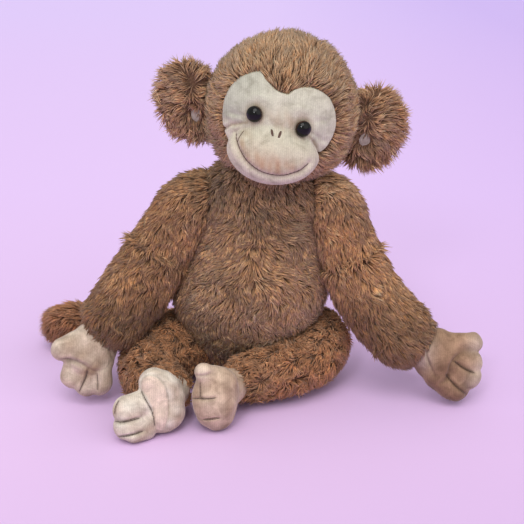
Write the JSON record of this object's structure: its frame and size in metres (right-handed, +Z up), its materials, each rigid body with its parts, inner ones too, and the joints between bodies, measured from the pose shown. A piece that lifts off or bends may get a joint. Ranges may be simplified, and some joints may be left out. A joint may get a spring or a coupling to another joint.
{
  "type": "stuffed monkey",
  "caption": "Seated long-limbed plush monkey with pale velour face, hands and feet, round ears, glossy eyes and a long tail; limbs, head, ears and tail turn at their seams.",
  "frame": {"origin": "on the floor, under the centre of the whole box", "axes": "+Z up, -Y the way the monkey faces, +X towards its left hand"},
  "size_m": [0.432, 0.246, 0.3345],
  "materials": {
    "brown_plush": "matte",
    "cream_velour": "matte",
    "chin_velour": "matte",
    "tan_velour": "matte",
    "filling": "matte",
    "beans": "matte",
    "eye": "gloss",
    "washer": "matte",
    "thread": "matte",
    "seam_thread": "matte",
    "label": "matte"
  },
  "bodies": {
    "torso": {"torso_skin_front": "brown_plush", "torso_skin_back": "brown_plush", "torso_stuffing": "filling", "seat_panel": "brown_plush", "seat_bean_bag": "beans", "sewn_label": "label"},
    "neck_seam": {"neck_stitching": "seam_thread"},
    "neck": {"neck_stuffing": "filling"},
    "head": {"head_skin_front": "brown_plush", "head_skin_back": "brown_plush", "head_stuffing": "filling", "face_panel": "cream_velour", "muzzle_panel": "cream_velour", "chin_panel": "chin_velour", "muzzle_stuffing": "filling", "mouth_stitches": "thread", "nostril_stitches": "thread", "eye_right": "eye", "eye_left": "eye", "eye_washer_right": "washer", "eye_washer_left": "washer"},
    "tail_base": {"tail_base_skin": "brown_plush", "tail_base_stuffing": "filling"},
    "tail_tip": {"tail_tip_skin": "brown_plush", "tail_tip_stuffing": "filling"},
    "ear_right": {"ear_fur_right": "brown_plush", "ear_lining_right": "cream_velour"},
    "upper_arm_right": {"upper_arm_skin_right": "brown_plush", "upper_arm_stuffing_right": "filling"},
    "forearm_right": {"forearm_skin_right": "brown_plush", "forearm_stuffing_right": "filling"},
    "hand_right": {"hand_skin_right": "tan_velour", "hand_stuffing_right": "filling"},
    "thigh_right": {"thigh_skin_right": "brown_plush", "thigh_stuffing_right": "filling"},
    "shin_right": {"shin_skin_right": "brown_plush", "shin_stuffing_right": "filling"},
    "foot_right": {"foot_skin_right": "tan_velour", "foot_stuffing_right": "filling"},
    "ear_left": {"ear_fur_left": "brown_plush", "ear_lining_left": "cream_velour"},
    "upper_arm_left": {"upper_arm_skin_left": "brown_plush", "upper_arm_stuffing_left": "filling"},
    "forearm_left": {"forearm_skin_left": "brown_plush", "forearm_stuffing_left": "filling"},
    "hand_left": {"hand_skin_left": "tan_velour", "hand_stuffing_left": "filling"},
    "thigh_left": {"thigh_skin_left": "brown_plush", "thigh_stuffing_left": "filling"},
    "shin_left": {"shin_skin_left": "brown_plush", "shin_stuffing_left": "filling"},
    "foot_left": {"foot_skin_left": "tan_velour", "foot_stuffing_left": "filling"}
  },
  "joints": [
    {"name": "neck_turn", "type": "hinge", "parent": "torso", "child": "neck_seam", "pos_m": [0.01001, 0.01137, 0.208], "axis": [0, 0, 1], "range_deg": [-40, 40]},
    {"name": "head_nod", "type": "hinge", "parent": "neck_seam", "child": "neck", "pos_m": [0.01001, 0.01137, 0.208], "axis": [1, 0, 0], "range_deg": [-12, 12]},
    {"name": "head_tilt", "type": "hinge", "parent": "neck", "child": "head", "pos_m": [0.01001, 0.01137, 0.208], "axis": [0, 1, 0], "range_deg": [-14, 5]},
    {"name": "ear_flap_right", "type": "hinge", "parent": "head", "child": "ear_right", "pos_m": [-0.04975, 0.02138, 0.27365], "axis": [0.017, 0, 0.9999], "range_deg": [-25, 25], "stiffness_Nm_per_rad": 0.03},
    {"name": "shoulder_swing_right", "type": "hinge", "parent": "torso", "child": "upper_arm_right", "pos_m": [-0.06399, 0.01137, 0.178], "axis": [-1, 0, 0], "range_deg": [-15, 80]},
    {"name": "elbow_bend_right", "type": "hinge", "parent": "upper_arm_right", "child": "forearm_right", "pos_m": [-0.12199, -0.00863, 0.106], "axis": [-0.7788, 0, 0.6273], "range_deg": [-10, 18]},
    {"name": "wrist_bend_right", "type": "hinge", "parent": "forearm_right", "child": "hand_right", "pos_m": [-0.15399, -0.02463, 0.054], "axis": [-0.8517, 0, 0.5241], "range_deg": [-20, 30]},
    {"name": "hip_splay_right", "type": "hinge", "parent": "torso", "child": "thigh_right", "pos_m": [-0.06199, 0.03737, 0.037], "axis": [0, 0, -1], "range_deg": [0, 17]},
    {"name": "knee_bend_right", "type": "hinge", "parent": "thigh_right", "child": "shin_right", "pos_m": [-0.10299, -0.01963, 0.031], "axis": [0, 0, -1], "range_deg": [0, 30]},
    {"name": "ankle_bend_right", "type": "hinge", "parent": "shin_right", "child": "foot_right", "pos_m": [-0.08299, -0.07263, 0.026], "axis": [-0.9356, -0.3531, 0], "range_deg": [-10, 25]},
    {"name": "ear_flap_left", "type": "hinge", "parent": "head", "child": "ear_left", "pos_m": [0.08385, 0.01877, 0.25511], "axis": [0.2553, 0, 0.9669], "range_deg": [-25, 25], "stiffness_Nm_per_rad": 0.03},
    {"name": "shoulder_swing_left", "type": "hinge", "parent": "torso", "child": "upper_arm_left", "pos_m": [0.07201, 0.01137, 0.18], "axis": [-1, 0, 0], "range_deg": [-15, 80]},
    {"name": "elbow_bend_left", "type": "hinge", "parent": "upper_arm_left", "child": "forearm_left", "pos_m": [0.11401, -0.00263, 0.096], "axis": [-0.8944, 0, -0.4472], "range_deg": [-10, 75]},
    {"name": "wrist_bend_left", "type": "hinge", "parent": "forearm_left", "child": "hand_left", "pos_m": [0.15901, -0.01963, 0.05], "axis": [-0.7148, 0, -0.6993], "range_deg": [-20, 30]},
    {"name": "hip_splay_left", "type": "hinge", "parent": "torso", "child": "thigh_left", "pos_m": [0.04401, 0.03737, 0.037], "axis": [0, 0, 1], "range_deg": [0, 40]},
    {"name": "knee_bend_left", "type": "hinge", "parent": "thigh_left", "child": "shin_left", "pos_m": [0.06401, -0.00263, 0.033], "axis": [0, 0, 1], "range_deg": [0, 100]},
    {"name": "ankle_bend_left", "type": "hinge", "parent": "shin_left", "child": "foot_left", "pos_m": [-0.01199, -0.04563, 0.026], "axis": [-0.4924, 0.8703, 0], "range_deg": [-10, 25]},
    {"name": "tail_swing", "type": "hinge", "parent": "torso", "child": "tail_base", "pos_m": [-0.00899, 0.09137, 0.02], "axis": [0, 0, -1], "range_deg": [0, 80]},
    {"name": "tail_curl", "type": "hinge", "parent": "tail_base", "child": "tail_tip", "pos_m": [-0.10899, 0.10237, 0.02], "axis": [0, 0, -1], "range_deg": [-15, 40]}
  ]
}
